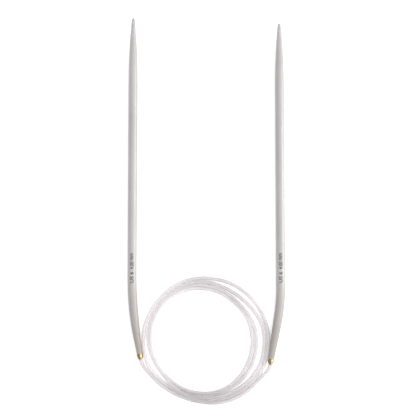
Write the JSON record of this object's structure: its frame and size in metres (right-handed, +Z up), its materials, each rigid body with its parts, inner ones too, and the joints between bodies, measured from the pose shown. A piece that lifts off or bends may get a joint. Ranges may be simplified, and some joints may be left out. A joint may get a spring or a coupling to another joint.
{
  "type": "circular knitting needle",
  "caption": "Fixed circular knitting needle: pointed pearl-grey aluminium tips with small brass ferrules, joined by a long clear nylon cord that lies coiled between them.",
  "frame": {"origin": "middle of the footprint on the table: centre of the bounding box in X and Y, underside of the tips in Z", "axes": "+Y along the straight shafts towards the points, +Z up from the table, +X from the left tip to the right tip"},
  "size_m": [0.0694, 0.1698, 0.0053],
  "materials": {
    "tip_metal": "pearl-grey lacquer, satin",
    "ferrule_brass": "turned, bright",
    "pin_steel": "plain",
    "cord_nylon": "clear, slightly lavender-grey, glossy"
  },
  "bodies": {
    "coil": {"cord_coil": "cord_nylon", "cord_swing_left": "cord_nylon", "cord_swing_right": "cord_nylon"},
    "left_link": {"cord_link_left": "cord_nylon", "cord_rise_left": "cord_nylon"},
    "left_tip": {"tip_left": "tip_metal", "ferrule_left": "ferrule_brass", "core_pin_left": "pin_steel", "cord_end_left": "cord_nylon"},
    "right_link": {"cord_link_right": "cord_nylon", "cord_rise_right": "cord_nylon"},
    "right_tip": {"tip_right": "tip_metal", "ferrule_right": "ferrule_brass", "core_pin_right": "pin_steel", "cord_end_right": "cord_nylon"}
  },
  "joints": [
    {"name": "left_swing", "type": "hinge", "parent": "coil", "child": "left_link", "pos_m": [-0.01669, -0.07849, 0.00237], "axis": [0, 0, 1], "range_deg": [0, 60], "stiffness_Nm_per_rad": 0.02, "deforming": ["cord_swing_left"]},
    {"name": "left_lift", "type": "hinge", "parent": "left_link", "child": "left_tip", "pos_m": [-0.02585, -0.07044, 0.00197], "axis": [0.9903, 0.1392, 0], "range_deg": [0, 70], "stiffness_Nm_per_rad": 0.02, "deforming": ["cord_rise_left"]},
    {"name": "right_swing", "type": "hinge", "parent": "coil", "child": "right_link", "pos_m": [0.01559, -0.08052, 0.00237], "axis": [0, 0, -1], "range_deg": [0, 60], "stiffness_Nm_per_rad": 0.02, "deforming": ["cord_swing_right"]},
    {"name": "right_lift", "type": "hinge", "parent": "right_link", "child": "right_tip", "pos_m": [0.02473, -0.07242, 0.00212], "axis": [0.9903, -0.1392, 0], "range_deg": [0, 70], "stiffness_Nm_per_rad": 0.02, "deforming": ["cord_rise_right"]}
  ]
}
